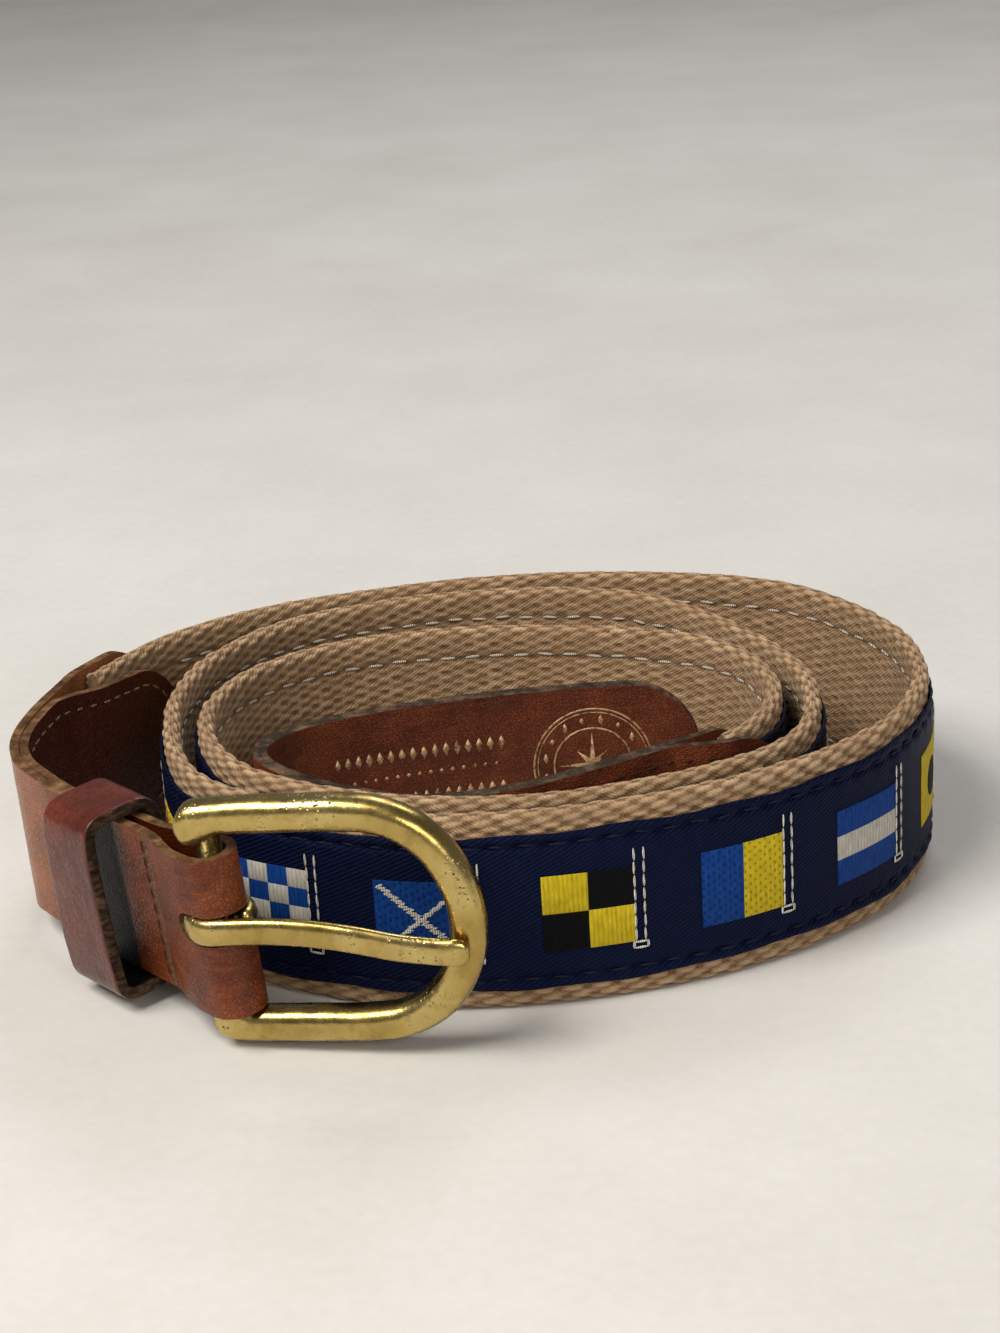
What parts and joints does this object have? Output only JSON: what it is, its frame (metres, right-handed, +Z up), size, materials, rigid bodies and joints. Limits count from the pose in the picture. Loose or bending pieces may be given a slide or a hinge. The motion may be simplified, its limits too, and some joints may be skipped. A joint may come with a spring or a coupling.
{
  "type": "ribbon belt",
  "caption": "Coiled cotton webbing belt with a woven signal-flag ribbon, leather tab, keeper and billet, and a brass D buckle with a prong, standing on its edge.",
  "frame": {"origin": "under the middle of the coil's overall box, on the surface it stands on", "axes": "+Z up across the belt's width, +X to the right along the coil's longest extent with the buckle at the front left, -Y towards the buckle's face"},
  "size_m": [0.151, 0.125, 0.0411],
  "materials": {
    "webbing_cotton": "tan cotton webbing, thick plain weave with rope-like rims",
    "ribbon_satin": "navy satin ribbon with woven blue, yellow, white and black flags",
    "navy_thread": "navy sewing thread",
    "white_thread": "off-white sewing thread",
    "dark_thread": "dark brown waxed thread",
    "leather_brown": "reddish brown grained leather, satin, darkened edges",
    "leather_dark": "dark red-brown leather, satin, grey painted edges",
    "brass": "cast brass, worn soft polish with small dark pits"
  },
  "bodies": {
    "belt": {"webbing": "webbing_cotton", "flag_ribbon": "ribbon_satin", "ribbon_seam_upper": "navy_thread", "ribbon_seam_lower": "navy_thread", "bobbin_seam_upper": "white_thread", "bobbin_seam_lower": "white_thread", "buckle_tab": "leather_brown", "tab_seam_outer": "dark_thread", "tab_seam_inner": "white_thread", "fold_seam": "dark_thread", "billet_outer": "leather_dark", "billet_inner": "leather_dark", "billet_seam_outer": "dark_thread", "billet_seam_inner": "dark_thread"},
    "keeper": {"keeper": "leather_brown", "keeper_staple": "brass"},
    "buckle": {"buckle_frame": "brass"},
    "prong": {"prong": "brass"}
  },
  "joints": [
    {"name": "keeper_slide", "type": "slide", "parent": "belt", "child": "keeper", "axis": [-0.6431, 0.7634, -0.06], "range_m": [-0.003, 0.003]},
    {"name": "buckle_hinge", "type": "hinge", "parent": "belt", "child": "buckle", "pos_m": [-0.03842, -0.05027, 0.0194], "axis": [-0.0996, -0.0055, 0.995], "range_deg": [-90, 4]},
    {"name": "prong_hinge", "type": "hinge", "parent": "buckle", "child": "prong", "pos_m": [-0.03842, -0.05027, 0.0194], "axis": [-0.0996, -0.0055, 0.995], "range_deg": [-70, 0]}
  ]
}
